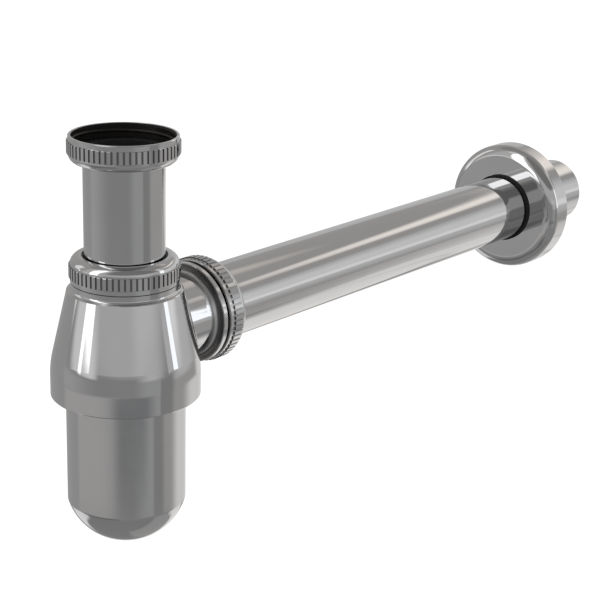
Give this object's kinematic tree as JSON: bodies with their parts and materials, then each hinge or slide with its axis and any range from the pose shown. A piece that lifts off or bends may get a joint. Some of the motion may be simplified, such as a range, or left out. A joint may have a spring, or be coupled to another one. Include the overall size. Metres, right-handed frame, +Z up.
{
  "type": "bottle trap",
  "caption": "Chromed brass bottle trap for a basin: knurled union nuts, tapered head over a round cup, long outlet pipe with a wall flange.",
  "frame": {"origin": "on the inlet's axis at the washer's sealing face, where the end of the waste's tail comes to rest", "axes": "+Z up along the inlet tube and out of the inlet nut's mouth, +Y along the outlet pipe to the wall, +X to the right as seen looking at the wall"},
  "size_m": [0.0632, 0.3491, 0.169],
  "materials": {
    "polished_chrome": "polished",
    "chrome_tube": "polished",
    "black_rubber": "matte",
    "slip_plastic": "satin"
  },
  "bodies": {
    "inlet": {"inlet_tube": "chrome_tube", "inlet_washer": "black_rubber"},
    "inlet_nut": {"inlet_nut": "polished_chrome"},
    "head_seal": {"head_seal": "black_rubber"},
    "head": {"trap_head": "polished_chrome", "outlet_seal": "black_rubber"},
    "head_slip_ring": {"head_slip_ring": "slip_plastic"},
    "head_nut": {"head_nut": "polished_chrome"},
    "cup_seal": {"cup_seal": "black_rubber"},
    "cup": {"cup": "polished_chrome"},
    "outlet_slip_ring": {"outlet_slip_ring": "slip_plastic"},
    "outlet_nut": {"outlet_nut": "polished_chrome"},
    "outlet_pipe": {"outlet_pipe": "chrome_tube"},
    "flange": {"wall_flange": "polished_chrome", "flange_grip_ring": "black_rubber"}
  },
  "joints": [
    {"name": "inlet_nut_turn", "type": "hinge", "parent": "inlet", "child": "inlet_nut", "pos_m": [0, 0, 0], "axis": [0, 0, 1], "continuous": true},
    {"name": "head_height", "type": "slide", "parent": "inlet", "child": "head_seal", "axis": [0, 0, 1], "range_m": [-0.06, 0.0105]},
    {"name": "head_swivel", "type": "hinge", "parent": "head_seal", "child": "head", "pos_m": [0, 0, -0.0527], "axis": [0, 0, 1], "continuous": true},
    {"name": "head_ring_lift", "type": "slide", "parent": "head", "child": "head_slip_ring", "axis": [0, 0, 1], "range_m": [0, 0.0058]},
    {"name": "head_nut_turn", "type": "hinge", "parent": "head_slip_ring", "child": "head_nut", "pos_m": [0, 0, -0.0527], "axis": [0, 0, 1], "range_deg": [0, 900]},
    {"name": "cup_seal_drop", "type": "slide", "parent": "head", "child": "cup_seal", "axis": [0, 0, -1], "range_m": [0, 0.0061]},
    {"name": "cup_turn", "type": "hinge", "parent": "cup_seal", "child": "cup", "pos_m": [0, 0, -0.093], "axis": [0, 0, -1], "range_deg": [0, 1440]},
    {"name": "outlet_ring_slide", "type": "slide", "parent": "head", "child": "outlet_slip_ring", "axis": [0, 1, 0], "range_m": [0, 0.0058]},
    {"name": "outlet_nut_turn", "type": "hinge", "parent": "outlet_slip_ring", "child": "outlet_nut", "pos_m": [0, 0.039, -0.07475], "axis": [0, 1, 0], "range_deg": [0, 900]},
    {"name": "outlet_pipe_slide", "type": "slide", "parent": "head", "child": "outlet_pipe", "axis": [0, 1, 0], "range_m": [-0.001, 0.008]},
    {"name": "flange_slide", "type": "slide", "parent": "outlet_pipe", "child": "flange", "axis": [0, 1, 0], "range_m": [-0.208, 0.03]}
  ],
  "couplings": [
    {"joint": "head_ring_lift", "follows": "head_nut_turn", "m_per_rad": 0.00036749},
    {"joint": "outlet_ring_slide", "follows": "outlet_nut_turn", "m_per_rad": 0.00036749},
    {"joint": "cup_seal_drop", "follows": "cup_turn", "m_per_rad": 0.00023873}
  ]
}
